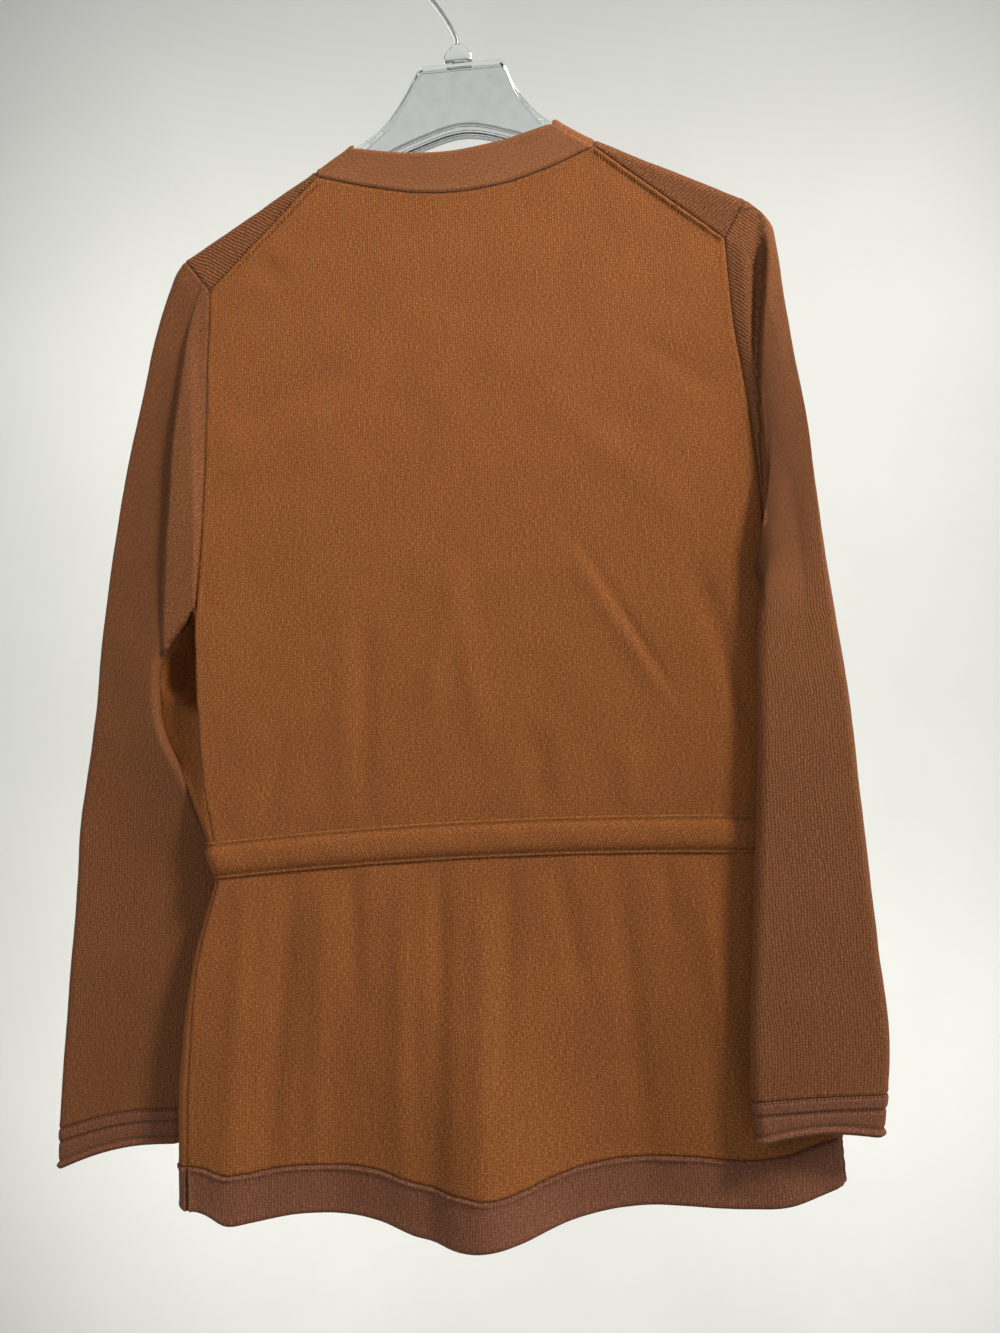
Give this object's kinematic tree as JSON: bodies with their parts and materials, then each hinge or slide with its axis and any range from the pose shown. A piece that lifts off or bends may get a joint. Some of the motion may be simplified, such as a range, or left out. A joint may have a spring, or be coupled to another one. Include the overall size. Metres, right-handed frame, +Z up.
{
  "type": "tie-front cardigan on a clothes hanger",
  "caption": "Long-sleeved knitted cardigan with a V neck, a padded tie casing at the waist, ribbed bands and cuffs, hung on a clear plastic hanger with a wire hook.",
  "frame": {"origin": "the inner top of the hook's loop, where it hangs on a rail", "axes": "+Z up, +X to the wearer's left, the garment's front faces -Y and its back faces +Y"},
  "size_m": [0.5842, 0.0709, 0.8981],
  "materials": {
    "knit": "fine vertical rib knit, matt, heathered ginger brown",
    "rib_band": "double layer of fine rib knit, matt, slightly paler brown",
    "clear_plastic": "clear moulded plastic, glossy",
    "hook_steel": "plain plated steel wire"
  },
  "bodies": {
    "root": {"back": "knit", "front_left": "knit", "front_right": "knit", "sleeve_left": "knit", "sleeve_right": "knit", "waist_casing": "knit", "tie_left": "knit", "tie_right": "knit", "tie_knot": "knit", "tie_tail_left": "knit", "tie_tail_right": "knit", "cuff_left": "rib_band", "cuff_right": "rib_band", "hem_band_back": "rib_band", "hem_band_left": "rib_band", "hem_band_right": "rib_band", "neck_band": "rib_band", "front_band_left": "rib_band", "front_band_right": "rib_band", "hanger_body": "clear_plastic", "hanger_collar": "clear_plastic", "hanger_hook": "hook_steel"}
  },
  "joints": []
}
